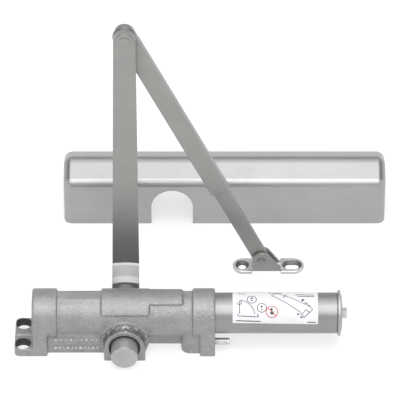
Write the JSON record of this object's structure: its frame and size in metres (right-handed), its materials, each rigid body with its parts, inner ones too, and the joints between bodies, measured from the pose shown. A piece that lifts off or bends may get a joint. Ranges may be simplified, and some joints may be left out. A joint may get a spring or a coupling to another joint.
{
  "type": "door closer",
  "caption": "Surface-mounted hydraulic door closer with a sprung rack-and-pinion body, two-piece folding arm, frame bracket and lift-off box cover.",
  "frame": {"origin": "foot of the pinion axis on the body's mounting face, the face that is screwed to the door", "axes": "+X along the body towards the spring tube, +Y towards the arm side, +Z away from the mounting face"},
  "size_m": [0.3519, 0.2684, 0.3126],
  "materials": {
    "casting_paint": "silver paint over a sand casting",
    "tube_paint": "silver paint over smooth steel tube",
    "arm_paint": "satin aluminium-coloured paint over forged steel",
    "cover_finish": "satin silver",
    "zinc_plate": "bright zinc plate",
    "shoe_zinc": "bright plated plate with aluminium-coloured paint on the ears",
    "steel": "machined steel",
    "spring_steel": "oiled spring steel",
    "bronze": "sintered bronze",
    "rubber": "nitrile rubber",
    "label_paper": "white printed film"
  },
  "bodies": {
    "closer_body": {"cylinder_body": "casting_paint", "end_plug": "steel", "spring_tube": "tube_paint", "tube_end_cap": "tube_paint", "pinion_bearing_front": "bronze", "pinion_bearing_back": "bronze", "pinion_seal_front": "rubber", "pinion_seal_back": "rubber", "pinion_cap": "casting_paint", "anchor_stud": "zinc_plate", "closing_spring": "spring_steel", "instruction_label": "label_paper"},
    "main_arm": {"pinion_shaft": "steel", "main_arm": "arm_paint", "arm_screw": "zinc_plate", "arm_washer": "zinc_plate", "elbow_pin": "steel", "elbow_washer": "steel"},
    "piston": {"piston": "steel", "piston_seal_ring": "rubber", "check_ball": "steel"},
    "forearm": {"forearm_tube": "arm_paint", "forearm_lock_screw_1": "zinc_plate", "forearm_lock_screw_2": "zinc_plate"},
    "rod": {"forearm_rod": "arm_paint"},
    "shoe": {"shoe_bracket": "shoe_zinc", "shoe_pivot_pin": "steel"},
    "power_screw": {"power_screw": "zinc_plate"},
    "spring_seat": {"spring_seat": "steel"},
    "latch_valve": {"latch_valve_screw": "zinc_plate"},
    "sweep_valve": {"sweep_valve_screw": "zinc_plate"},
    "backcheck_valve": {"backcheck_valve_screw": "zinc_plate"},
    "cover": {"cover": "cover_finish"}
  },
  "joints": [
    {"name": "pinion_turn", "type": "hinge", "parent": "closer_body", "child": "main_arm", "pos_m": [0, 0, 0.0156], "axis": [0, 1, 0], "range_deg": [0, 135], "stiffness_Nm_per_rad": 5, "springref_deg": -91.67},
    {"name": "piston_slide", "type": "slide", "parent": "closer_body", "child": "piston", "axis": [1, 0, 0], "range_m": [0, 0.0224], "deforming": ["closing_spring"]},
    {"name": "elbow", "type": "hinge", "parent": "main_arm", "child": "forearm", "pos_m": [0.0019, 0.07, 0.3018], "axis": [0, 1, 0], "range_deg": [-150, 12]},
    {"name": "forearm_extension", "type": "slide", "parent": "forearm", "child": "rod", "axis": [0.4329, 0, -0.9014], "range_m": [-0.045, 0.045]},
    {"name": "shoe_pivot", "type": "hinge", "parent": "rod", "child": "shoe", "pos_m": [0.1282, 0.0735, 0.0388], "axis": [0, 1, 0], "range_deg": [-110, 60]},
    {"name": "power_adjust", "type": "hinge", "parent": "closer_body", "child": "power_screw", "pos_m": [0.2, 0, 0.0333], "axis": [1, 0, 0], "range_deg": [0, 1801]},
    {"name": "spring_seat_slide", "type": "slide", "parent": "closer_body", "child": "spring_seat", "axis": [-1, 0, 0], "range_m": [0, 0.01], "deforming": ["closing_spring"]},
    {"name": "latch_valve_turn", "type": "hinge", "parent": "closer_body", "child": "latch_valve", "pos_m": [-0.078, 0.02, 0.0333], "axis": [0, 1, 0], "range_deg": [-180, 180]},
    {"name": "sweep_valve_turn", "type": "hinge", "parent": "closer_body", "child": "sweep_valve", "pos_m": [-0.048, 0.018, 0.0333], "axis": [0, 1, 0], "range_deg": [-180, 180]},
    {"name": "backcheck_valve_turn", "type": "hinge", "parent": "closer_body", "child": "backcheck_valve", "pos_m": [0.048, 0.018, 0.0333], "axis": [0, 1, 0], "range_deg": [-180, 180]},
    {"name": "cover_lift", "type": "slide", "parent": "closer_body", "child": "cover", "axis": [0, 0, 1], "range_m": [0, 0.1]}
  ],
  "couplings": [
    {"joint": "piston_slide", "follows": "pinion_turn", "m_per_rad": 0.0095},
    {"joint": "power_adjust", "follows": "spring_seat_slide", "rad_per_m": 3141.6}
  ]
}
